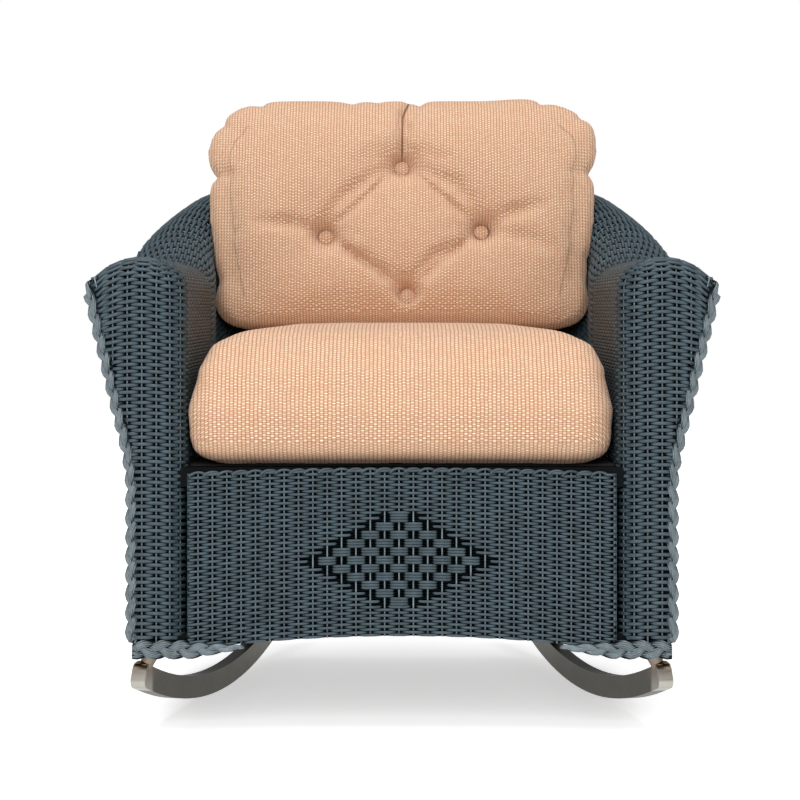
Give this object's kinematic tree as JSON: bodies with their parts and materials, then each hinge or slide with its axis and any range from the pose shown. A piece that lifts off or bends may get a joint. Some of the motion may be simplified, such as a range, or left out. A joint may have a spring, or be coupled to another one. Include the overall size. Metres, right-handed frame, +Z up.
{
  "type": "outdoor rocking chair",
  "caption": "Barrel-backed woven outdoor rocking chair with rolled arms, a skirted front, bar runners, a thick seat cushion and a tufted back cushion.",
  "frame": {"origin": "on the floor, under the middle of the chair's bounding box", "axes": "+Z up, the sitter faces -Y, +X to the right in the front view"},
  "size_m": [0.8385, 0.8, 0.903],
  "materials": {
    "wicker": "round woven strands, dark slate blue-green, slightly waxy",
    "braid": "plaited strands, paler grey-blue",
    "frame": "dark powder coat on welded tube",
    "runner": "brushed bar with heat tint round the welds",
    "strap": "elastic webbing",
    "cover_fabric": "apricot basket weave with fine upright stripes",
    "fill": "soft fibre and foam",
    "twine": "waxed twine"
  },
  "bodies": {
    "chair_frame": {"arm_weave_right": "wicker", "arm_weave_left": "wicker", "outer_weave_right": "wicker", "outer_weave_left": "wicker", "back_weave_inner": "wicker", "back_weave_outer": "wicker", "front_skirt": "wicker", "rim_braid": "braid", "arm_braid_right": "braid", "arm_braid_left": "braid", "arm_rim_braid_right": "braid", "arm_rim_braid_left": "braid", "hem_braid_right": "braid", "hem_braid_left": "braid", "seat_bow": "frame", "seat_front_rail": "frame", "base_rail": "frame", "skirt_rod": "frame", "rim_rail_back": "frame", "rim_rail_right": "frame", "rim_rail_left": "frame", "front_post_right": "frame", "front_post_left": "frame", "back_stay_left": "frame", "back_stay_middle": "frame", "back_stay_right": "frame", "rear_leg_right": "frame", "rear_leg_left": "frame", "rear_brace_right": "frame", "rear_brace_left": "frame", "runner_right": "runner", "runner_left": "runner", "front_stub_right": "runner", "front_stub_left": "runner", "rear_stub_right": "runner", "rear_stub_left": "runner", "weld_beads_right": "runner", "weld_beads_left": "runner", "seat_straps": "strap"},
    "seat_cushion": {"seat_cushion_cover": "cover_fabric", "seat_cushion_fill": "fill"},
    "back_cushion": {"back_cushion_cover": "cover_fabric", "back_cushion_fill": "fill", "tuft_buttons_front": "cover_fabric", "tuft_buttons_rear": "cover_fabric", "tuft_twine": "twine"}
  },
  "joints": [
    {"name": "seat_cushion_lift_out", "type": "slide", "parent": "chair_frame", "child": "seat_cushion", "axis": [0, -1, 0], "range_m": [0, 0.15]},
    {"name": "back_cushion_lift_out", "type": "slide", "parent": "chair_frame", "child": "back_cushion", "axis": [0, 0, 1], "range_m": [0, 0.3]}
  ]
}
